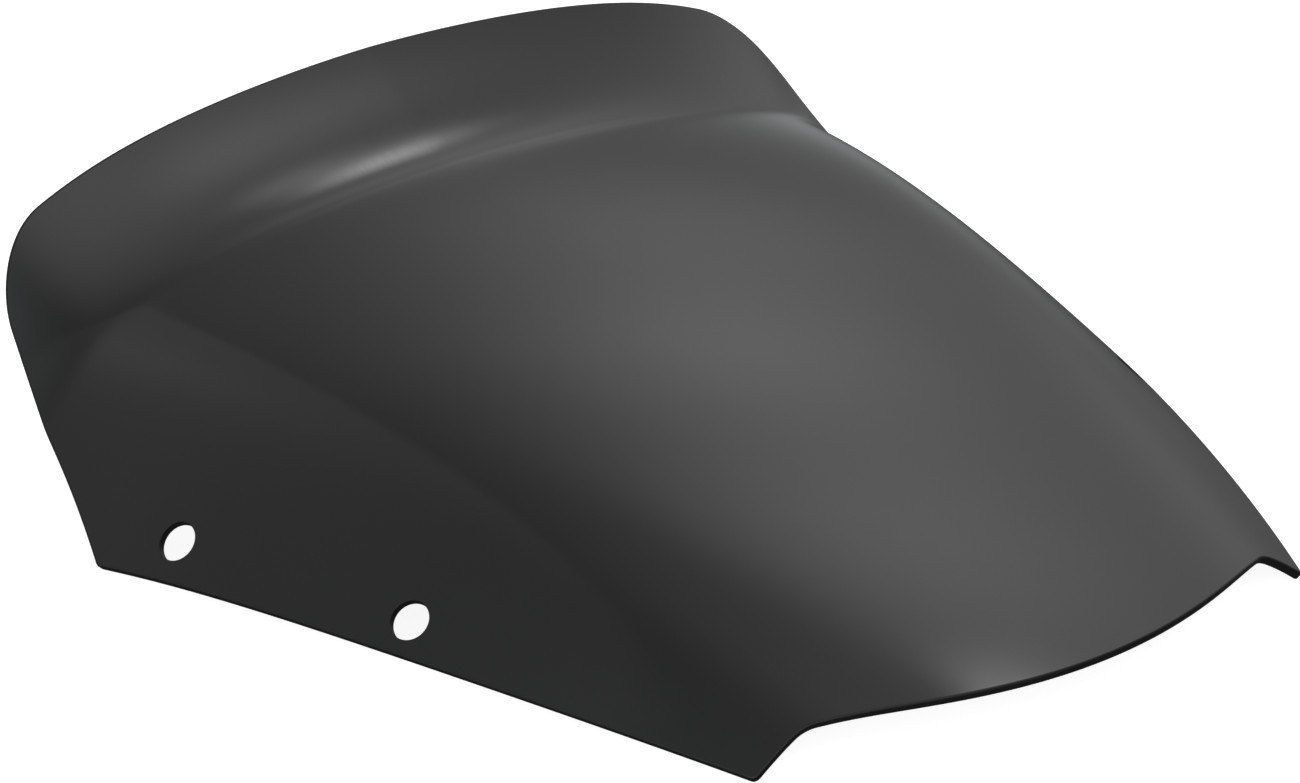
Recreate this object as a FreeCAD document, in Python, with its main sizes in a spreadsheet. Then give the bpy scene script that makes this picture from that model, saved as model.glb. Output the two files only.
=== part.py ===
import FreeCAD, Part
import math
import os
import Sketcher

# Motorcycle windshield screen: one sheet of dark smoke acrylic, 3 mm thick,
# heat-formed over a mould into a low hood with sloping side walls and an
# upswept lip, then trimmed to its outline and drilled for four well nuts.
#
# Frame: +Z up, +Y towards the rider, X across the machine. The screen lies
# on the lower corners of its two side walls, the four points it rests on,
# and is the same on both sides of X = 0. The origin is on the ground below
# the middle of its length. Lengths are millimetres.

V = FreeCAD.Vector

doc = FreeCAD.newDocument("WindshieldScreen")

# ------------------------------------------------------------------
# Driving sizes. Distances along the machine are measured from the line
# through the two front corners, and heights from the base plane.
# ------------------------------------------------------------------
sizes = doc.addObject("Spreadsheet::Sheet", "Sizes")
row = 0


def size(alias, value, text):
    global row
    row = row + 1
    sizes.set("A%d" % row, text)
    sizes.set("B%d" % row, str(value))
    sizes.setAlias("B%d" % row, alias)


# The sheet
size("thickness", 3.0, "thickness of the acrylic sheet")

# The trimmed outline, seen from above
size("front_width", 218.5, "distance between the two front corners")
size("rear_width", 366.0, "distance between the two rear lower corners")
size("side_length", 228.5, "front corners to rear lower corners")
size("nose_reach", 25.5, "how far the nose stands ahead of the front corners")
size("nose_radius", 179.0, "radius of the curved front edge")
size("nose_width", 183.0, "width of the curved front edge")
size("side_radius", 1370.0, "radius of the bowed lower side edge")
size("rear_radius", 630.0, "radius of the slightly hollow rear side edge")
size("lip_reach", 335.5, "front corners to the middle of the lip's edge")
size("lip_radius", 1640.0, "radius of the lip's rear edge")
size("lip_width", 310.5, "width over the lip's corners before rounding")
size("front_corner_round", 2.5, "rounding of the pointed front corners")
size("notch_round", 14.0, "hollow rounding between nose and front corner")
size("rear_corner_round", 5.0, "rounding of the rear lower corners")
size("lip_corner_round", 27.0, "rounding of the lip's corners")

# The formed shape
size("nose_height", 15.5, "height of the middle of the front edge")
size("dome_height", 65.0, "height of the top of the hood")
size("dome_back", 270.5, "front corners to the top of the hood")
size("crown_radius", 1025.0, "radius across the top of the hood")
size("front_shoulder", 180.5, "width between the shoulders at the front")
size("rear_shoulder", 271.5, "width between the shoulders at the rear")
size("front_blend", 20.5, "softness of the shoulder bend at the front")
size("rear_blend", 14.0, "softness of the shoulder bend at the rear")
size("lip_depth", 46.0, "width of the upswept band along the rear edge")
size("lip_rise", 0.39, "slope added at the foot of the upsweep")
size("lip_curl", 0.0058, "curl of the upsweep, half its growth in slope per millimetre")
size("lip_blend", 5.0, "softness of the bend into the upsweep")
size("droop_depth", 29.0, "width of the band that droops beside the lip")
size("droop", 0.31, "slope added by the droop at the lip's corner")
size("droop_blend", 40.0, "softness of the bend into the droop")
size("droop_lead", 20.5, "how far ahead of the rear lower corner the droop sets in")
size("droop_growth", 82.5, "softness of the droop's growth along the rear edge")

# The four mounting holes
size("hole_diameter", 12.7, "bore for a half-inch well nut")
size("hole_spacing", 89.5, "front hole to rear hole on one side")
size("rear_hole_back", 25.5, "rear lower corner to the rear hole")
size("rear_hole_edge", 13.8, "rear hole to the lower edge, along the sheet")
size("front_hole_edge", 11.7, "front hole to the lower edge, along the sheet")

doc.recompute()


def val(alias):
    return float(sizes.get(alias))


# ------------------------------------------------------------------
# Height of the mould face above the base plane. The hood is a long
# arch from nose to rear, crowned across, with a flat sloping wall
# beyond each shoulder, an upsweep that curls up along the rear edge and
# a droop beside the lip's corners. The slope of each wall is whatever brings
# its front and rear lower corners down to the base plane, so all four
# corners always touch it.
# ------------------------------------------------------------------
side_length = val("side_length")
nose_reach = val("nose_reach")
nose_height = val("nose_height")
dome_height = val("dome_height")
dome_back = val("dome_back")
crown_radius = val("crown_radius")
front_shoulder = val("front_shoulder") / 2
rear_shoulder = val("rear_shoulder") / 2
front_blend = val("front_blend")
rear_blend = val("rear_blend")
lip_reach = val("lip_reach")
lip_radius = val("lip_radius")
lip_depth = val("lip_depth")
lip_rise = val("lip_rise")
lip_curl = val("lip_curl")
lip_blend = val("lip_blend")
lip_half = val("lip_width") / 2
droop_depth = val("droop_depth")
droop = val("droop")
droop_blend = val("droop_blend")
droop_lead = val("droop_lead")
droop_growth = val("droop_growth")
front_corner = V(val("front_width") / 2, 0, 0)
rear_corner = V(val("rear_width") / 2, side_length, 0)


def arc_drop(radius, x):
    return radius - math.sqrt(radius * radius - x * x)


lip_corner = V(lip_half, lip_reach - arc_drop(lip_radius, lip_half), 0)
rear_run = lip_corner - rear_corner
rear_chord = rear_run.Length
rear_along = V(rear_run.x, rear_run.y, 0).normalize()


def bend(t, soft):
    return 0.5 * (t + math.sqrt(t * t + soft * soft))


def arch(y):
    part = (y - dome_back) / (dome_back + nose_reach)
    return dome_height - (dome_height - nose_height) * part * part


def upsweep(x, y):
    edge = lip_reach - x * x / (2 * lip_radius)
    into = bend(lip_depth - (edge - y), lip_blend)
    return lip_rise * into + lip_curl * into * into


def droop_at(x, y):
    side = math.sqrt(x * x + 4)
    run_x = side - rear_corner.x
    run_y = y - rear_corner.y
    up_edge = run_x * rear_along.x + run_y * rear_along.y
    inside = run_y * rear_along.x - run_x * rear_along.y
    growth = bend(up_edge + droop_lead, droop_growth) / rear_chord
    return droop * growth * bend(droop_depth - inside, droop_blend)


def hood(x, y):
    crown = x * x / (2 * crown_radius)
    return arch(y) - crown + upsweep(x, y) - droop_at(x, y)


def wall_run(x, y):
    part = y / side_length
    shoulder = front_shoulder + (rear_shoulder - front_shoulder) * part
    soft = front_blend + (rear_blend - front_blend) * min(max(part, -0.2), 1.6)
    right = bend(x - shoulder, soft)
    left = bend(-x - shoulder, soft)
    return right + left - 2 * bend(-shoulder, soft)


def slope_to_base(corner):
    return hood(corner.x, corner.y) / wall_run(corner.x, corner.y)


front_slope = slope_to_base(front_corner)
rear_slope = slope_to_base(rear_corner)


def height(x, y):
    slope = front_slope + (rear_slope - front_slope) * y / side_length
    return hood(x, y) - slope * wall_run(x, y)


def outward(x, y):
    step = 0.05
    dx = (height(x + step, y) - height(x - step, y)) / (2 * step)
    dy = (height(x, y + step) - height(x, y - step)) / (2 * step)
    return V(-dx, -dy, 1).normalize()


# ------------------------------------------------------------------
# Mould face: one smooth spline surface through the heights, reaching
# a little past the trim on every side
# ------------------------------------------------------------------
margin = 14.0
spacing_across = 7.0
spacing_along = 4.0
half = rear_corner.x + margin
low = -nose_reach - margin
high = lip_reach + margin
across = int(math.ceil(2 * half / spacing_across))
along = int(math.ceil((high - low) / spacing_along))
grid = []
for i in range(across + 1):
    x = -half + 2 * half * i / across
    line = []
    for j in range(along + 1):
        y = low + (high - low) * j / along
        line.append(V(x, y, height(x, y)))
    grid.append(line)
surface = Part.BSplineSurface()
surface.interpolate(grid)
mould = doc.addObject("Part::Feature", "MouldFace")
mould.Shape = surface.toShape()


# ------------------------------------------------------------------
# Trim block: the outline as an upright prism. The nose is an arc ahead
# of the front corners, a short straight edge runs back from it to each
# corner, the lower side edges bow outwards a little, and slightly hollow
# rear edges rise to the corners of the curved lip.
# ------------------------------------------------------------------
def mirrored(p):
    return V(-p.x, p.y, p.z)


def arc_between(centre, radius, start, end):
    first = math.atan2(start.y - centre.y, start.x - centre.x)
    last = math.atan2(end.y - centre.y, end.x - centre.x)
    return Part.ArcOfCircle(Part.Circle(centre, V(0, 0, 1), radius), first, last)


nose_radius = val("nose_radius")
nose_half = val("nose_width") / 2
notch = V(nose_half, arc_drop(nose_radius, nose_half) - nose_reach, 0)
nose_centre = V(0, nose_radius - nose_reach, 0)
lip_centre = V(0, lip_reach - lip_radius, 0)
side_radius = val("side_radius")
side_run = rear_corner - front_corner
side_chord = side_run.Length
side_along = V(side_run.x, side_run.y, 0).normalize()
side_out = V(side_along.y, -side_along.x, 0)
side_bow = arc_drop(side_radius, side_chord / 2)
side_centre = (front_corner + rear_corner) / 2 + side_out * (side_bow - side_radius)
rear_radius = val("rear_radius")
rear_out = V(rear_along.y, -rear_along.x, 0)
rear_depth = arc_drop(rear_radius, rear_chord / 2)
rear_centre = (rear_corner + lip_corner) / 2 + rear_out * (rear_radius - rear_depth)

body = doc.addObject("PartDesign::Body", "TrimBlock")
plane = [f for f in body.Origin.OriginFeatures if f.Role == "XY_Plane"][0]
trim = body.newObject("Sketcher::SketchObject", "Outline")
trim.AttachmentSupport = [(plane, "")]
trim.MapMode = "FlatFace"
trim.setExpression("AttachmentOffset.Base.z", "-Sizes.dome_height")

nose = trim.addGeometry(arc_between(nose_centre, nose_radius, mirrored(notch), notch))
tab_r = trim.addGeometry(Part.LineSegment(notch, front_corner))
side_r = trim.addGeometry(arc_between(side_centre, side_radius, front_corner, rear_corner))
rear_r = trim.addGeometry(arc_between(rear_centre, rear_radius, lip_corner, rear_corner))
lip = trim.addGeometry(arc_between(lip_centre, lip_radius, lip_corner, mirrored(lip_corner)))
rear_l = trim.addGeometry(
    arc_between(mirrored(rear_centre), rear_radius, mirrored(rear_corner), mirrored(lip_corner))
)
side_l = trim.addGeometry(
    arc_between(mirrored(side_centre), side_radius, mirrored(rear_corner), mirrored(front_corner))
)
tab_l = trim.addGeometry(Part.LineSegment(mirrored(front_corner), mirrored(notch)))

# Round the outline, each edge with the end that comes first and last;
# the two hollow edges run the other way round
loop = [
    (nose, 1, 2),
    (tab_r, 1, 2),
    (side_r, 1, 2),
    (rear_r, 2, 1),
    (lip, 1, 2),
    (rear_l, 2, 1),
    (side_l, 1, 2),
    (tab_l, 1, 2),
]
for n in range(len(loop)):
    edge, first, last = loop[n]
    following, start, end = loop[(n + 1) % len(loop)]
    trim.addConstraint(Sketcher.Constraint("Coincident", edge, last, following, start))
for arc in (nose, lip):
    trim.addConstraint(Sketcher.Constraint("PointOnObject", arc, 3, -2))
    trim.addConstraint(Sketcher.Constraint("Horizontal", arc, 1, arc, 2))
for left, right in (((side_l, 2), (side_r, 1)), ((side_l, 1), (side_r, 2))):
    trim.addConstraint(Sketcher.Constraint("Symmetric", *left, *right, -2))
trim.addConstraint(Sketcher.Constraint("PointOnObject", side_r, 1, -1))
trim.addConstraint(Sketcher.Constraint("Equal", side_r, side_l))
trim.addConstraint(Sketcher.Constraint("Equal", rear_r, rear_l))


def dimension(kind, where, value, formula, name):
    number = trim.addConstraint(Sketcher.Constraint(kind, *where, value))
    trim.renameConstraint(number, name)
    trim.setExpression("Constraints." + name, formula)


dimension("DistanceX", (tab_l, 1, tab_r, 2), 2 * front_corner.x, "Sizes.front_width", "FrontWidth")
dimension("DistanceX", (side_l, 1, side_r, 2), 2 * rear_corner.x, "Sizes.rear_width", "RearWidth")
dimension("DistanceY", (-1, 1, side_r, 2), side_length, "Sizes.side_length", "SideLength")
dimension("Radius", (side_r,), side_radius, "Sizes.side_radius", "SideRadius")
dimension("Radius", (rear_r,), rear_radius, "Sizes.rear_radius", "RearRadius")
dimension("DistanceX", (nose, 1, nose, 2), 2 * nose_half, "Sizes.nose_width", "NoseWidth")
dimension("Radius", (nose,), nose_radius, "Sizes.nose_radius", "NoseRadius")
dimension(
    "DistanceY", (-1, 1, nose, 3), nose_centre.y,
    "Sizes.nose_radius - Sizes.nose_reach", "NoseCentre",
)
dimension("DistanceX", (lip, 2, lip, 1), 2 * lip_half, "Sizes.lip_width", "LipWidth")
dimension("Radius", (lip,), lip_radius, "Sizes.lip_radius", "LipRadius")
dimension(
    "DistanceY", (lip, 3, -1, 1), -lip_centre.y,
    "Sizes.lip_radius - Sizes.lip_reach", "LipCentre",
)

block = body.newObject("PartDesign::Pad", "Block")
block.Profile = trim
block.setExpression("Length", "Sizes.dome_height * 4")
doc.recompute()


def upright_edges(shape, points):
    names = []
    for number, edge in enumerate(shape.Edges, 1):
        ends = [v.Point for v in edge.Vertexes]
        if len(ends) != 2 or abs(ends[0].z - ends[1].z) < 1:
            continue
        for p in points:
            if math.hypot(ends[0].x - p.x, ends[0].y - p.y) < 0.01:
                names.append("Edge%d" % number)
    return names


# Each pair of outline corners is rounded by its own radius
rounded = block
for label, corner, alias in (
    ("NotchRound", notch, "notch_round"),
    ("FrontRound", front_corner, "front_corner_round"),
    ("RearRound", rear_corner, "rear_corner_round"),
    ("LipRound", lip_corner, "lip_corner_round"),
):
    names = upright_edges(rounded.Shape, [corner, mirrored(corner)])
    if len(names) != 2:
        raise RuntimeError("%s finds %d corners" % (label, len(names)))
    fillet = body.newObject("PartDesign::Fillet", label)
    fillet.Base = (rounded, names)
    fillet.setExpression("Radius", "Sizes." + alias)
    doc.recompute()
    rounded = fillet

# ------------------------------------------------------------------
# The sheet: the mould face cut to the outline, then thickened outwards,
# so that every trimmed edge stands square to the sheet
# ------------------------------------------------------------------
trimmed = doc.addObject("Part::Common", "TrimmedFace")
trimmed.Base = mould
trimmed.Tool = body
sheet = doc.addObject("Part::Offset", "FormedSheet")
sheet.Source = trimmed
sheet.setExpression("Value", "Sizes.thickness")
sheet.Mode = "Skin"
sheet.Join = "Arc"
sheet.Fill = True
doc.recompute()

# ------------------------------------------------------------------
# Four drillings, two in each side wall, each square to the sheet where
# it goes through. They are set out from the rear lower corner along the
# wall's lower edge, and in from that edge along the sheet.
# ------------------------------------------------------------------
thickness = val("thickness")
spare = 6.0


def on_wall(back, edge_distance):
    along_chord = side_chord - back
    from_middle = along_chord - side_chord / 2
    bow = side_bow - arc_drop(side_radius, abs(from_middle))
    edge = front_corner + side_along * along_chord + side_out * bow
    lean = outward(edge.x, edge.y)
    point = edge - side_out * (edge_distance * lean.z)
    return V(point.x, point.y, height(point.x, point.y))


drills = []
for name, back, edge_distance in (
    ("Rear", val("rear_hole_back"), val("rear_hole_edge")),
    ("Front", val("rear_hole_back") + val("hole_spacing"), val("front_hole_edge")),
):
    centre = on_wall(back, edge_distance)
    axis = outward(centre.x, centre.y)
    for hand, label in ((1, "Right"), (-1, "Left")):
        place = V(hand * centre.x, centre.y, centre.z)
        out = V(hand * axis.x, axis.y, axis.z)
        drill = doc.addObject("Part::Cylinder", name + label + "Drill")
        drill.setExpression("Radius", "Sizes.hole_diameter / 2")
        drill.setExpression("Height", "Sizes.thickness + %g" % (2 * spare))
        drill.Placement = FreeCAD.Placement(
            place - out * spare, FreeCAD.Rotation(V(0, 0, 1), out)
        )
        drills.append(drill)

drilling = doc.addObject("Part::MultiFuse", "Drilling")
drilling.Shapes = drills
screen = doc.addObject("Part::Cut", "Screen")
screen.Base = sheet
screen.Tool = drilling
screen.Label = "screen"
doc.recompute()

# The origin goes on the ground, under the middle of the screen's length
box = screen.Shape.optimalBoundingBox(False)
middle = (box.YMin + box.YMax) / 2
screen.Placement = FreeCAD.Placement(V(0, -middle, -box.ZMin), FreeCAD.Rotation())
doc.recompute()

# ------------------------------------------------------------------
# Checks, then the file
# ------------------------------------------------------------------
for item in doc.Objects:
    if "Invalid" in item.State or "Error" in item.State:
        raise RuntimeError("%s is %s" % (item.Label, item.State))

for piece in (screen,):
    shape = piece.Shape
    if shape.isNull() or not shape.isValid() or len(shape.Solids) != 1:
        raise RuntimeError("%s is not one sound solid" % piece.Label)
if trim.DoF != 0 or trim.ConflictingConstraints or trim.RedundantConstraints:
    raise RuntimeError("the outline has %d free directions" % trim.DoF)

# Every hole goes clean through the sheet: the cut takes its whole wall
for drill in drills:
    taken = sheet.Shape.common(drill.Shape).Volume
    whole = math.pi * (val("hole_diameter") / 2) ** 2 * thickness
    if abs(taken - whole) > 0.02 * whole:
        raise RuntimeError("%s takes %.1f mm3, not %.1f" % (drill.Label, taken, whole))

os.makedirs("parts", exist_ok=True)
for piece in (screen,):
    piece.Shape.exportStep(os.path.join("parts", piece.Label + ".step"))
    print("%s %.0f mm3" % (piece.Label, piece.Shape.Volume))
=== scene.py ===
import math

import bmesh
import bpy
import numpy as np
from mathutils import Matrix, Vector
from mathutils.geometry import delaunay_2d_cdt


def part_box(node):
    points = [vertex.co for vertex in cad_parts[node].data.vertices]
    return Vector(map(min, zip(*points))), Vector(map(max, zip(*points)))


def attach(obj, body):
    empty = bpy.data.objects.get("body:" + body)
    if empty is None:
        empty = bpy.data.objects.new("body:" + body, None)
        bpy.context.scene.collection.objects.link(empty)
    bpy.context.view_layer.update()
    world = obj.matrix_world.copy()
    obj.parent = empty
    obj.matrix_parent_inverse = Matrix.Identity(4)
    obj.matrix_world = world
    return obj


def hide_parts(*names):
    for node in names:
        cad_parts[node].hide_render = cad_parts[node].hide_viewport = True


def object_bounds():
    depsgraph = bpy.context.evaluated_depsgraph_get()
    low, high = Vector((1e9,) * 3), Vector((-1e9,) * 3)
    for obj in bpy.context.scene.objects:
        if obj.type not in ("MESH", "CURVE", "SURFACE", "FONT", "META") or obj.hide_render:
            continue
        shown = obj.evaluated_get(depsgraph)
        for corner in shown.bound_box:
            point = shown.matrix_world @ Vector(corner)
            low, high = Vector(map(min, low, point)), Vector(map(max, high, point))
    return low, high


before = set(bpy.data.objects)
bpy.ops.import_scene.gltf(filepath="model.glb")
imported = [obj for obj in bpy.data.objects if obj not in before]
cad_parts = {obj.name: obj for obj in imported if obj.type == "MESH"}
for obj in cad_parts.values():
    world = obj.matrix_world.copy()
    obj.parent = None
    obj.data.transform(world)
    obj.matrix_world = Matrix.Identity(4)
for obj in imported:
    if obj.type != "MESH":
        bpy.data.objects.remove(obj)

cad_low, cad_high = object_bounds()

# ---------------------------- The trimmed outline ----------------------------
# The screen is one sheet of 3 mm dark smoke acrylic. Once formed, it is clamped in a jig and
# routed to this outline, seen from above: a curved nose, a small tab down to each front corner,
# bowed sides, hollow rear edges and a wide curved lip. Sizes are in millimetres.
SHEET = 3.0
FRONT_CORNER = np.array([109.25, 0.0])
REAR_CORNER = np.array([183.0, 228.5])
NOSE_REACH = 25.5
NOSE_RADIUS = 179.0
NOSE_HALF = 91.5
SIDE_RADIUS = 1370.0
REAR_RADIUS = 630.0
LIP_REACH = 335.5
LIP_RADIUS = 1640.0
LIP_HALF = 155.25
NOTCH_ROUND = 14.0
FRONT_ROUND = 2.5
REAR_ROUND = 5.0
LIP_ROUND = 27.0
# How closely the runs and arcs are stepped, and how finely their joins are felt for
RUN_STEP = 1.6
ARC_STEP = 1.2
STRAIGHT = 1e7
JOIN_PASSES = 6
GLANCE = 0.4
JOIN_GAP = 0.35


def sagitta(radius, x):
    """How far an arc falls away from its flat, x out from the middle."""
    return radius - np.sqrt(radius * radius - x * x)


notch = np.array([NOSE_HALF, sagitta(NOSE_RADIUS, NOSE_HALF) - NOSE_REACH])
lip_corner = np.array([LIP_HALF, LIP_REACH - sagitta(LIP_RADIUS, LIP_HALF)])


def bowed_run(start, end, radius):
    """Points from start to end along an arc; a minus radius is hollow."""
    chord = np.linalg.norm(end - start)
    along = (end - start) / chord
    outside = np.array([along[1], -along[0]])
    count = max(2, int(round(chord / RUN_STEP)))
    travel = np.linspace(0.0, chord, count + 1)
    arc_radius = abs(radius)
    rise = sagitta(arc_radius, chord / 2) - sagitta(arc_radius, travel - chord / 2)
    bulge = math.copysign(1, radius) * rise
    return start + along * travel[:, None] + outside * bulge[:, None]


def centred_run(half, radius, apex, side):
    """Points from the middle of the nose or lip out to one end of its arc."""
    x = np.linspace(0.0, half, max(2, int(round(half / RUN_STEP))) + 1)
    return np.stack([x, apex + side * sagitta(radius, x)], 1)


def rounded_join(before, after, radius):
    """Rolls a circle into the corner where two runs meet and swaps in its arc."""
    corner = before[-1]
    back = before[-2] - corner
    ahead = after[1] - corner
    back /= np.linalg.norm(back)
    ahead /= np.linalg.norm(ahead)
    half_angle = math.acos(np.clip(back @ ahead, -1, 1)) / 2
    reach = radius / math.tan(half_angle)
    for _ in range(JOIN_PASSES):
        leaves = point_along(before[::-1], reach)
        meets = point_along(after, reach)
        way_back = direction_at(before[::-1], reach)
        way_on = direction_at(after, reach)
        turn = math.acos(np.clip(-(way_back @ way_on), -1, 1))
        found = np.linalg.norm(meets - leaves) / 2 / math.sin(turn / 2)
        reach *= radius / found
    leaves = point_along(before[::-1], reach)
    meets = point_along(after, reach)
    way = -direction_at(before[::-1], reach)
    across = meets - leaves
    span = np.linalg.norm(across)
    lean = math.atan2(way[0] * across[1] - way[1] * across[0], way @ across)
    arc_radius = span / 2 / math.sin(abs(lean))
    count = max(8, int(math.ceil(arc_radius * 2 * abs(lean) / ARC_STEP)))
    arc = []
    for n in range(1, count):
        swept = 2 * lean * n / count
        length = 2 * arc_radius * math.sin(abs(swept) / 2)
        c = math.cos(swept / 2)
        s = math.sin(swept / 2)
        arc.append(leaves + length * np.array([c * way[0] - s * way[1], s * way[0] + c * way[1]]))
    kept_before = trim_end(before, reach)
    kept_after = trim_end(after[::-1], reach)[::-1]
    return kept_before, np.array([leaves] + arc + [meets]), kept_after


def point_along(run, distance):
    """The point this far along a run."""
    steps = np.linalg.norm(np.diff(run, axis=0), axis=1)
    total = np.concatenate([[0], np.cumsum(steps)])
    return np.array([np.interp(distance, total, run[:, 0]), np.interp(distance, total, run[:, 1])])


def direction_at(run, distance):
    """The way a run is heading, this far along it."""
    stride = point_along(run, distance + GLANCE) - point_along(run, max(distance - GLANCE, 0.0))
    return stride / np.linalg.norm(stride)


def trim_end(run, distance):
    """The run without its last stretch of this length."""
    steps = np.linalg.norm(np.diff(run[::-1], axis=0), axis=1)
    total = np.concatenate([[0], np.cumsum(steps)])[::-1]
    return run[total > distance + JOIN_GAP]


nose_run = centred_run(NOSE_HALF, NOSE_RADIUS, -NOSE_REACH, 1.0)
tab_run = bowed_run(notch, FRONT_CORNER, STRAIGHT)
side_run = bowed_run(FRONT_CORNER, REAR_CORNER, SIDE_RADIUS)
rear_run = bowed_run(REAR_CORNER, lip_corner, -REAR_RADIUS)
lip_run = centred_run(LIP_HALF, LIP_RADIUS, LIP_REACH, -1.0)[::-1]

nose_run, notch_arc, tab_run = rounded_join(nose_run, tab_run, NOTCH_ROUND)
tab_run, front_arc, side_run = rounded_join(tab_run, side_run, FRONT_ROUND)
side_run, rear_arc, rear_run = rounded_join(side_run, rear_run, REAR_ROUND)
rear_run, lip_arc, lip_run = rounded_join(rear_run, lip_run, LIP_ROUND)
right_half = np.vstack([
    nose_run, notch_arc, tab_run, front_arc, side_run, rear_arc, rear_run, lip_arc, lip_run])
left_half = right_half[1:-1][::-1] * np.array([-1.0, 1.0])
outline = np.vstack([right_half, left_half])


# -------------------------------- The forming --------------------------------
# The hot acrylic is draped over a mould: a long low hood, crowned across, that rolls over soft
# shoulders into sloping side walls. The rear edge is swept up into a lip, and the sheet droops
# a little towards its rear corners. These sizes describe the inner face.
NOSE_HEIGHT = 15.5
DOME_HEIGHT = 65.0
DOME_BACK = 270.5
CROWN_RADIUS = 1025.0
FRONT_SHOULDER = 90.25
REAR_SHOULDER = 135.75
FRONT_BLEND = 20.5
REAR_BLEND = 14.0
LIP_DEPTH = 46.0
LIP_RISE = 0.39
LIP_CURL = 0.0058
LIP_BLEND = 5.0
DROOP_DEPTH = 29.0
DROOP = 0.31
DROOP_BLEND = 40.0
DROOP_LEAD = 20.5
DROOP_GROWTH = 82.5
# The droop turns softly at the centre line, and the blends stay even past the wall's ends
CENTRE_EASE = 2.0
BLEND_FROM = -0.2
BLEND_TO = 1.6


def soft_bend(past, soft):
    """Nothing before the bend, the distance past it after, and a soft turn between."""
    return 0.5 * (past + np.sqrt(past * past + soft * soft))


def hood_height(x, y):
    """The hood on its own: its arch, crown, upswept lip and drooping rear corners."""
    part = (y - DOME_BACK) / (DOME_BACK + NOSE_REACH)
    arch = DOME_HEIGHT - (DOME_HEIGHT - NOSE_HEIGHT) * part * part
    edge = LIP_REACH - x * x / (2 * LIP_RADIUS)
    into = soft_bend(LIP_DEPTH - (edge - y), LIP_BLEND)
    upsweep = LIP_RISE * into + LIP_CURL * into * into
    rear = lip_corner - REAR_CORNER
    chord = np.linalg.norm(rear)
    rear = rear / chord
    across = np.sqrt(x * x + CENTRE_EASE ** 2) - REAR_CORNER[0]
    up_edge = across * rear[0] + (y - REAR_CORNER[1]) * rear[1]
    inside = (y - REAR_CORNER[1]) * rear[0] - across * rear[1]
    growth = soft_bend(up_edge + DROOP_LEAD, DROOP_GROWTH) / chord
    droop = DROOP * growth * soft_bend(DROOP_DEPTH - inside, DROOP_BLEND)
    return arch - x * x / (2 * CROWN_RADIUS) + upsweep - droop


def wall_run(x, y):
    """How far out this place lies on a side wall, past the shoulder."""
    part = y / REAR_CORNER[1]
    shoulder = FRONT_SHOULDER + (REAR_SHOULDER - FRONT_SHOULDER) * part
    soft = FRONT_BLEND + (REAR_BLEND - FRONT_BLEND) * np.clip(part, BLEND_FROM, BLEND_TO)
    both = soft_bend(x - shoulder, soft) + soft_bend(-x - shoulder, soft)
    return both - 2 * soft_bend(-shoulder, soft)


def wall_slope(corner):
    """The slope that brings a wall down to the table at this corner."""
    return hood_height(corner[0], corner[1]) / wall_run(corner[0], corner[1])


front_slope = wall_slope(FRONT_CORNER)
rear_slope = wall_slope(REAR_CORNER)


def inner_height(x, y):
    """The inner face: the hood less the fall of the side walls."""
    slope = front_slope + (rear_slope - front_slope) * y / REAR_CORNER[1]
    return hood_height(x, y) - slope * wall_run(x, y)


def inner_point(plan_points):
    """Plan points lifted onto the inner face."""
    x = plan_points[:, 0]
    y = plan_points[:, 1]
    return np.stack([x, y, inner_height(x, y)], 1)


def outward(plan_points):
    """The way out of the sheet at each plan point, square to its inner face."""
    step = 0.02
    x = plan_points[:, 0]
    y = plan_points[:, 1]
    rise_across = (inner_height(x + step, y) - inner_height(x - step, y)) / (2 * step)
    rise_back = (inner_height(x, y + step) - inner_height(x, y - step)) / (2 * step)
    square = np.stack([-rise_across, -rise_back, np.ones_like(rise_across)], 1)
    return square / np.linalg.norm(square, axis=1, keepdims=True)


# --------------------------- The four drilled holes ---------------------------
# Each side wall has two plain 12.7 mm holes, drilled square to the sheet for rubber well nuts,
# with the sharp rim just taken off. They are set out from the rear lower corner, along the
# wall's edge and in from it.
HOLE_RADIUS = 6.35
HOLE_EASE = 0.3
HOLE_PLACES = ((25.5, 13.8), (115.0, 11.7))
HOLE_POINTS = 72
# The rim is brought down to the face in passes, by this share of the gap each time
DRILL_PASSES = 12
DRILL_SHARE = 0.6


def hole_centre(back, from_edge):
    """Where a drill starts: back along the right wall's edge, then in from it."""
    chord = np.linalg.norm(REAR_CORNER - FRONT_CORNER)
    along = (REAR_CORNER - FRONT_CORNER) / chord
    outside = np.array([along[1], -along[0]])
    travel = chord - back
    bow = sagitta(SIDE_RADIUS, chord / 2) - sagitta(SIDE_RADIUS, abs(travel - chord / 2))
    edge = FRONT_CORNER + along * travel + outside * bow
    lean = outward(edge[None])[0]
    return edge - outside * (from_edge * lean[2])


def hole_ring(centre, radius):
    """Plan points where a drill of this radius meets the inner face."""
    axis = outward(centre[None])[0]
    middle = inner_point(centre[None])[0]
    first = np.cross(axis, [0.0, 0.0, 1.0])
    first /= np.linalg.norm(first)
    second = np.cross(axis, first)
    turn = np.arange(HOLE_POINTS) * 2 * math.pi / HOLE_POINTS
    rim = middle + radius * (np.cos(turn)[:, None] * first + np.sin(turn)[:, None] * second)
    for _ in range(DRILL_PASSES):
        gap = rim[:, 2] - inner_height(rim[:, 0], rim[:, 1])
        rim = rim - axis * (gap / axis[2])[:, None] * DRILL_SHARE
    return rim[:, :2]


hole_centres = []
for back, from_edge in HOLE_PLACES:
    place = hole_centre(back, from_edge)
    hole_centres += [place, place * np.array([-1.0, 1.0])]
hole_rings = [hole_ring(centre, HOLE_RADIUS) for centre in hole_centres]


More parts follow.
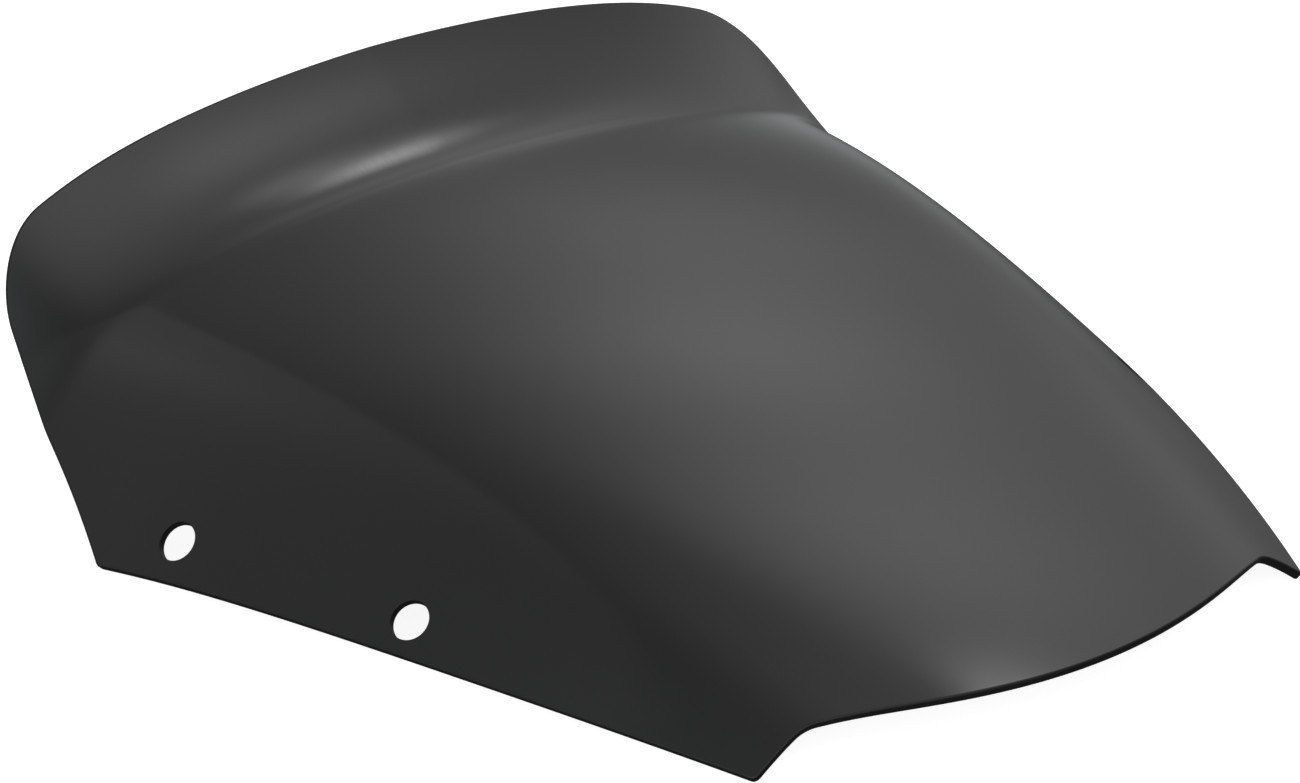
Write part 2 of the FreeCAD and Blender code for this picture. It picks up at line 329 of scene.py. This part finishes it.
# --------------------------- The sheet as one skin ---------------------------
# The outer face, the inner face and the rounded edge that rolls between them are one closed
# skin of the 3 mm acrylic. Its faces lie on a 3 mm grid in plan, with rings that follow the
# outline and the holes.
EDGE_ROLL = 0.8
EDGE_STEPS = 5
GRID = 3.0
GRID_LINES_ACROSS = (-66, 67)
GRID_LINES_BACK = (-10, 115)
RIM_STEP = 1.6
RIM_CLEAR = 0.6 * GRID
SAME_PLACE = 1e-5
FACE_FINISH = 0
EDGE_FINISH = 1
FLAT_ENOUGH = math.radians(12)
SQUARE_ENOUGH = math.radians(25)
MM_IN_A_METRE = 1000


def rim_frame(ring, side):
    """For each rim point: its place, the way out through the face, and the way out past the rim."""
    rim = inner_point(ring)
    face_way = outward(ring)
    along = np.roll(rim, -1, axis=0) - np.roll(rim, 1, axis=0)
    along -= face_way * np.sum(along * face_way, axis=1, keepdims=True)
    along /= np.linalg.norm(along, axis=1, keepdims=True)
    return rim, face_way, np.cross(along, face_way) * side


# The sheet lies inside its outline, and outside its holes
rim_frames = [rim_frame(outline, 1.0) + (EDGE_ROLL,)]
for ring in hole_rings:
    rim, face_way, rim_way = rim_frame(ring, 1.0)
    side = 1.0 if np.sum(rim_way[:, :2] * (ring.mean(axis=0) - ring)) > 0 else -1.0
    rim_frames.append((rim, face_way, rim_way * side, HOLE_EASE))

# Each rim is stepped in by its roll, and a second ring further in keeps the faces even there
plan = []
plan_loops = []
for rim, face_way, rim_way, roll in rim_frames:
    plan_loops.append(list(range(len(plan), len(plan) + len(rim))))
    for step_in in (roll, roll + RIM_STEP):
        plan += [tuple(place) for place in (rim - step_in * rim_way)[:, :2]]

# Grid points keep clear of every ring
rings = np.array(plan)
grid_across = np.arange(*GRID_LINES_ACROSS) * GRID
grid_back = np.arange(*GRID_LINES_BACK) * GRID
grid = np.array([(x, y) for y in grid_back for x in grid_across])
near = np.array([np.min(np.sum((rings - place) ** 2, axis=1)) for place in grid])


def inside(loop, points):
    """Which points lie within a closed loop, by counting the sides they look across."""
    count = np.zeros(len(points), int)
    for (x1, y1), (x2, y2) in zip(loop, np.roll(loop, -1, axis=0)):
        crosses = (y1 > points[:, 1]) != (y2 > points[:, 1])
        with np.errstate(divide="ignore", invalid="ignore"):
            at = (x2 - x1) * (points[:, 1] - y1) / (y2 - y1) + x1
        count += crosses & (points[:, 0] < at)
    return count % 2 == 1


outer_rim = np.array([plan[i] for i in plan_loops[0]])
hole_rims = [np.array([plan[i] for i in loop]) for loop in plan_loops[1:]]
keep = inside(outer_rim, grid) & (near > RIM_CLEAR ** 2)
for hole_rim in hole_rims:
    keep &= ~inside(hole_rim, grid)
plan += [tuple(place) for place in grid[keep]]

edges = []
for loop in plan_loops:
    edges += [(loop[i], loop[(i + 1) % len(loop)]) for i in range(len(loop))]
points, _, faces, origin, _, _ = delaunay_2d_cdt(
    [Vector(place) for place in plan], edges, [], 0, SAME_PLACE)
points = np.array([tuple(place) for place in points])
where = {came_from[0]: i for i, came_from in enumerate(origin) if came_from}
middles = np.array([points[list(face)].mean(axis=0) for face in faces])
used = inside(outer_rim, middles)
for hole_rim in hole_rims:
    used &= ~inside(hole_rim, middles)
faces = [tuple(face) for face, in_use in zip(faces, used) if in_use]

inner_face = inner_point(points)
normals = outward(points)
outer_face = inner_face + SHEET * normals
verts = [tuple(v) for v in outer_face] + [tuple(v) for v in inner_face]
vert_normals = [tuple(v) for v in normals] + [tuple(-v) for v in normals]
total = len(points)
polys = []
finishes = []
for face in faces:
    a, b, c = points[list(face)]
    turn = (b[0] - a[0]) * (c[1] - a[1]) - (b[1] - a[1]) * (c[0] - a[0])
    face = face if turn > 0 else face[::-1]
    polys.append(face)
    polys.append(tuple(total + i for i in face[::-1]))
    finishes += [FACE_FINISH, FACE_FINISH]

# The edge rolls over from the outer face, crosses the thickness and rolls in to the inner face
for (rim, face_way, rim_way, roll), loop in zip(rim_frames, plan_loops):
    top = [where[i] for i in loop]
    bottom = [total + i for i in top]
    profile = []
    for k in range(1, EDGE_STEPS + 1):
        a = math.pi / 2 * k / EDGE_STEPS
        profile.append((roll * (math.sin(a) - 1), SHEET - roll * (1 - math.cos(a)), a))
    for k in range(0, EDGE_STEPS):
        a = math.pi / 2 * k / EDGE_STEPS
        profile.append((roll * (math.cos(a) - 1), roll * (1 - math.sin(a)), a + math.pi / 2))
    rows = [top]
    for past, up, a in profile:
        row = list(range(len(verts), len(verts) + len(rim)))
        verts += [tuple(v) for v in rim + past * rim_way + up * face_way]
        vert_normals += [tuple(v) for v in math.sin(a) * rim_way + math.cos(a) * face_way]
        rows.append(row)
    rows.append(bottom)
    for upper, lower in zip(rows[:-1], rows[1:]):
        for i in range(len(upper)):
            j = (i + 1) % len(upper)
            quad = (upper[i], lower[i], lower[j], upper[j])
            first = np.array(verts[quad[1]]) - np.array(verts[quad[0]])
            second = np.array(verts[quad[2]]) - np.array(verts[quad[0]])
            facing = np.cross(first, second) @ np.array(vert_normals[quad[1]])
            polys.append(quad if facing > 0 else quad[::-1])
            finishes.append(EDGE_FINISH)

# The skin is set down where the frame's screen lies
verts = np.array(verts)
low = verts.min(axis=0)
high = verts.max(axis=0)
box_low, box_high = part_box("screen")
shift = np.array([
    MM_IN_A_METRE * (box_low[0] + box_high[0]) / 2 - (low[0] + high[0]) / 2,
    MM_IN_A_METRE * (box_low[1] + box_high[1]) / 2 - (low[1] + high[1]) / 2,
    MM_IN_A_METRE * box_low[2] - low[2]])
verts = (verts + shift) / MM_IN_A_METRE

mesh = bpy.data.meshes.new("acrylic_screen")
mesh.from_pydata([tuple(v) for v in verts], [], polys)
mesh.polygons.foreach_set("material_index", finishes)
skin = bmesh.new()
skin.from_mesh(mesh)
bmesh.ops.join_triangles(
    skin, faces=[face for face in skin.faces if len(face.verts) == 3],
    angle_face_threshold=FLAT_ENOUGH, angle_shape_threshold=SQUARE_ENOUGH)
skin.to_mesh(mesh)
skin.free()
mesh.shade_smooth()
mesh.normals_split_custom_set_from_vertices([Vector(way) for way in vert_normals])
screen = bpy.data.objects.new("acrylic_screen", mesh)
bpy.context.scene.collection.objects.link(screen)
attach(screen, "root")
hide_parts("screen")

# ----------------------------- Dark smoke acrylic -----------------------------
# Cast sheet tinted through, almost black, with a hard gloss. Forming leaves a very slight
# waviness, and handling leaves hair-fine rubs that take the edge off the gloss in places.
ACRYLIC_IOR = 1.49
THIN_TINT = (0.0095, 0.0097, 0.0102, 1)
THICK_TINT = (0.0070, 0.0072, 0.0076, 1)

acrylic = bpy.data.materials.new("smoke_acrylic")
acrylic.use_nodes = True
tree = acrylic.node_tree
tree.nodes.clear()
surface = tree.nodes.new("ShaderNodeOutputMaterial")
gloss = tree.nodes.new("ShaderNodeBsdfPrincipled")
tree.links.new(gloss.outputs["BSDF"], surface.inputs["Surface"])
gloss.inputs["IOR"].default_value = ACRYLIC_IOR
gloss.inputs["Specular IOR Level"].default_value = 0.5
place = tree.nodes.new("ShaderNodeTexCoord")

# The tint is a hair lighter where forming drew the sheet thinner
tint = tree.nodes.new("ShaderNodeTexNoise")
tint.inputs["Scale"].default_value = 9.0
tint.inputs["Detail"].default_value = 2.0
tree.links.new(place.outputs["Object"], tint.inputs["Vector"])
tint_ramp = tree.nodes.new("ShaderNodeValToRGB")
tint_ramp.color_ramp.elements[0].position = 0.3
tint_ramp.color_ramp.elements[0].color = THICK_TINT
tint_ramp.color_ramp.elements[1].position = 0.7
tint_ramp.color_ramp.elements[1].color = THIN_TINT
tree.links.new(tint.outputs["Fac"], tint_ramp.inputs["Fac"])
tree.links.new(tint_ramp.outputs["Color"], gloss.inputs["Base Color"])

# Fine rubs, drawn out along the sheet, over a broad haze of handling
stretch = tree.nodes.new("ShaderNodeMapping")
stretch.inputs["Rotation"].default_value = (0.0, 0.0, 0.5)
stretch.inputs["Scale"].default_value = (1500.0, 60.0, 300.0)
tree.links.new(place.outputs["Object"], stretch.inputs["Vector"])
rubs = tree.nodes.new("ShaderNodeTexNoise")
rubs.inputs["Scale"].default_value = 1.0
rubs.inputs["Detail"].default_value = 3.0
tree.links.new(stretch.outputs["Vector"], rubs.inputs["Vector"])
haze = tree.nodes.new("ShaderNodeTexNoise")
haze.inputs["Scale"].default_value = 22.0
haze.inputs["Detail"].default_value = 4.0
tree.links.new(place.outputs["Object"], haze.inputs["Vector"])
wear = tree.nodes.new("ShaderNodeMath")
wear.operation = "MULTIPLY"
tree.links.new(rubs.outputs["Fac"], wear.inputs[0])
tree.links.new(haze.outputs["Fac"], wear.inputs[1])
rough = tree.nodes.new("ShaderNodeMapRange")
rough.inputs["From Min"].default_value = 0.12
rough.inputs["From Max"].default_value = 0.45
rough.inputs["To Min"].default_value = 0.07
rough.inputs["To Max"].default_value = 0.15
tree.links.new(wear.outputs["Value"], rough.inputs["Value"])
tree.links.new(rough.outputs["Result"], gloss.inputs["Roughness"])

# Forming waviness: broad, and less than half a millimetre deep
wave = tree.nodes.new("ShaderNodeTexNoise")
wave.inputs["Scale"].default_value = 30.0
wave.inputs["Detail"].default_value = 1.0
tree.links.new(place.outputs["Object"], wave.inputs["Vector"])
ripple = tree.nodes.new("ShaderNodeBump")
ripple.inputs["Strength"].default_value = 0.12
ripple.inputs["Distance"].default_value = 0.0004
tree.links.new(wave.outputs["Fac"], ripple.inputs["Height"])
tree.links.new(ripple.outputs["Normal"], gloss.inputs["Normal"])
mesh.materials.append(acrylic)

# ------------------------------ The trimmed edge ------------------------------
# The router leaves fine marks through the thickness of the acrylic, and a buffing wheel takes
# most of them off, so the edge is darker and duller than the faces.
EDGE_DARK = (0.0040, 0.0042, 0.0045, 1)
EDGE_PALE = (0.0085, 0.0088, 0.0092, 1)

edge = bpy.data.materials.new("buffed_edge")
edge.use_nodes = True
tree = edge.node_tree
buffed = tree.nodes["Principled BSDF"]
buffed.inputs["IOR"].default_value = ACRYLIC_IOR
buffed.inputs["Specular IOR Level"].default_value = 0.3
place = tree.nodes.new("ShaderNodeTexCoord")
along_edge = tree.nodes.new("ShaderNodeMapping")
along_edge.inputs["Scale"].default_value = (1400.0, 1400.0, 120.0)
tree.links.new(place.outputs["Object"], along_edge.inputs["Vector"])
marks = tree.nodes.new("ShaderNodeTexNoise")
marks.inputs["Scale"].default_value = 1.0
marks.inputs["Detail"].default_value = 2.0
tree.links.new(along_edge.outputs["Vector"], marks.inputs["Vector"])
edge_tone = tree.nodes.new("ShaderNodeValToRGB")
edge_tone.color_ramp.elements[0].color = EDGE_DARK
edge_tone.color_ramp.elements[1].color = EDGE_PALE
tree.links.new(marks.outputs["Fac"], edge_tone.inputs["Fac"])
tree.links.new(edge_tone.outputs["Color"], buffed.inputs["Base Color"])
edge_rough = tree.nodes.new("ShaderNodeMapRange")
edge_rough.inputs["To Min"].default_value = 0.22
edge_rough.inputs["To Max"].default_value = 0.42
tree.links.new(marks.outputs["Fac"], edge_rough.inputs["Value"])
tree.links.new(edge_rough.outputs["Result"], buffed.inputs["Roughness"])
cut = tree.nodes.new("ShaderNodeBump")
cut.inputs["Strength"].default_value = 0.25
cut.inputs["Distance"].default_value = 0.0001
tree.links.new(marks.outputs["Fac"], cut.inputs["Height"])
tree.links.new(cut.outputs["Normal"], buffed.inputs["Normal"])
mesh.materials.append(edge)

# --------------------------------- The studio ---------------------------------
# The screen lies on a pale paper sweep that glows faintly, so it stays clean and white under
# the hood. The sweep doesn't show in the gloss: what shows there is a tent of dim silk round
# the screen, lit by soft patches and by one large even round light.
SWEEP_HALF = 6.0
SWEEP_DROP = 0.0005
PAPER = (0.55, 0.55, 0.55, 1)
PAPER_GLOW = 0.90

floor_mesh = bpy.data.meshes.new("studio_floor")
sweep = bmesh.new()
bmesh.ops.create_grid(sweep, x_segments=24, y_segments=24, size=SWEEP_HALF)
sweep.to_mesh(floor_mesh)
sweep.free()
floor = bpy.data.objects.new("studio_floor", floor_mesh)
floor.location = (0, 0, cad_low[2] - SWEEP_DROP)
bpy.context.scene.collection.objects.link(floor)
floor.visible_glossy = False
paper = bpy.data.materials.new("studio_paper")
paper.use_nodes = True
paper_shader = paper.node_tree.nodes["Principled BSDF"]
paper_shader.inputs["Base Color"].default_value = PAPER
paper_shader.inputs["Roughness"].default_value = 0.9
paper_shader.inputs["Emission Color"].default_value = (1, 1, 1, 1)
paper_shader.inputs["Emission Strength"].default_value = PAPER_GLOW
floor_mesh.materials.append(paper)

world = bpy.data.worlds.new("studio")
bpy.context.scene.world = world
world.use_nodes = True
tent = world.node_tree
background = tent.nodes["Background"]
towards = tent.nodes.new("ShaderNodeTexCoord")
SILK = 0.03
WHITE = (1.0, 1.0, 1.0)
COOL = (0.95, 0.98, 1.0)


def nearness_to(turn, height):
    """How nearly a way out of the tent points at this turn from straight back, and this height."""
    way = Vector((
        math.cos(math.radians(height)) * math.sin(math.radians(turn)),
        math.cos(math.radians(height)) * math.cos(math.radians(turn)),
        math.sin(math.radians(height))))
    nearness = tent.nodes.new("ShaderNodeVectorMath")
    nearness.operation = "DOT_PRODUCT"
    nearness.inputs[1].default_value = way
    tent.links.new(towards.outputs["Generated"], nearness.inputs[0])
    return nearness.outputs["Value"]


def add_light(light_so_far, shape, colour):
    """Adds one shape of light, in its colour, to what the tent already gives."""
    lit = tent.nodes.new("ShaderNodeVectorMath")
    lit.operation = "MULTIPLY_ADD"
    lit.inputs[1].default_value = colour
    tent.links.new(shape, lit.inputs[0])
    if light_so_far is None:
        lit.inputs[2].default_value = Vector(WHITE) * SILK
    else:
        tent.links.new(light_so_far, lit.inputs[2])
    return lit.outputs["Vector"]


def soft_patch(light_so_far, turn, height, spread, strength, tint):
    """One soft patch of light, fading out over its spread; all its angles are in degrees."""
    sharpness = 1 / math.radians(spread) ** 2
    falloff = tent.nodes.new("ShaderNodeMath")
    falloff.operation = "MULTIPLY_ADD"
    falloff.inputs[1].default_value = sharpness
    falloff.inputs[2].default_value = -sharpness
    tent.links.new(nearness_to(turn, height), falloff.inputs[0])
    glow = tent.nodes.new("ShaderNodeMath")
    glow.operation = "EXPONENT"
    tent.links.new(falloff.outputs["Value"], glow.inputs[0])
    return add_light(light_so_far, glow.outputs["Value"], Vector(tint) * strength)


def round_light(light_so_far, turn, height, reach, edge, strength):
    """One even round light with a crisp rim: its reach and its rim's softness in degrees."""
    within = tent.nodes.new("ShaderNodeMapRange")
    within.inputs["From Min"].default_value = math.cos(math.radians(reach + edge))
    within.inputs["From Max"].default_value = math.cos(math.radians(reach - edge))
    tent.links.new(nearness_to(turn, height), within.inputs["Value"])
    return add_light(light_so_far, within.outputs["Result"], Vector(WHITE) * strength)


# Behind the screen and to its right: the broad light on the hood, its brighter middle, the lip
light = soft_patch(None, 58, 49, 5.7, 0.84, WHITE)
light = soft_patch(light, 47, 38, 4.5, 0.68, WHITE)
light = soft_patch(light, 43, 28, 4.6, 0.35, WHITE)
light = soft_patch(light, 73, 33, 22.0, 0.93, WHITE)
light = soft_patch(light, 106, 61, 4.9, 0.74, WHITE)
# Behind and to the left: the light on the left wall, where the round one's rim is a faint line
light = soft_patch(light, -17, 42, 17.0, 0.48, WHITE)
light = round_light(light, -30.3, 30.5, 39.9, 0.8, 0.13)
# Overhead towards the front, and low on the left: the left shoulder and the foot of its wall
light = soft_patch(light, 145, 71, 18.6, 1.30, WHITE)
light = soft_patch(light, -120, 21, 22.7, 2.25, COOL)
# Two small bright lamps: the streak in the valley before the lip
light = soft_patch(light, 72, 56, 2.1, 5.2, WHITE)
light = soft_patch(light, 79, 61, 2.2, 1.2, WHITE)
# Low lights for the right shoulder, and for the screen seen from its left and from behind
light = soft_patch(light, 40, -2, 8.6, 0.47, COOL)
light = soft_patch(light, -62, 14, 9.0, 0.9, WHITE)
light = soft_patch(light, 180, 22, 16.0, 1.0, WHITE)
tent.links.new(light, background.inputs["Color"])
bpy.context.scene.view_settings.view_transform = "Standard"

# --------------------------------- The camera ---------------------------------
# A long lens stands to the front left of the nose, a little above the hood, and looks back
# along the screen. It leans over by about a degree.
AZIMUTH = math.radians(39.62)
ELEVATION = math.radians(25.72)
ROLL = math.radians(1.29)
DISTANCE = 2.434
AIM = Vector((-0.0187, 0.0083, 0.0389))
FOCAL_LENGTH = 214.9
FILM_WIDTH = 36.0
SEES_TO = 50.0
forward = Vector((
    math.cos(ELEVATION) * math.sin(AZIMUTH),
    math.cos(ELEVATION) * math.cos(AZIMUTH),
    -math.sin(ELEVATION)))
level = Vector((math.cos(AZIMUTH), -math.sin(AZIMUTH), 0.0))
upright = level.cross(forward)
right = level * math.cos(ROLL) + upright * math.sin(ROLL)
up = right.cross(forward)
lens = bpy.data.cameras.new("camera")
lens.lens = FOCAL_LENGTH
lens.sensor_width = FILM_WIDTH
lens.clip_end = SEES_TO
camera = bpy.data.objects.new("camera", lens)
camera.matrix_world = Matrix((
    (right.x, up.x, -forward.x, 0), (right.y, up.y, -forward.y, 0),
    (right.z, up.z, -forward.z, 0), (0, 0, 0, 1)))
camera.location = AIM - forward * DISTANCE
bpy.context.scene.collection.objects.link(camera)
bpy.context.scene.camera = camera
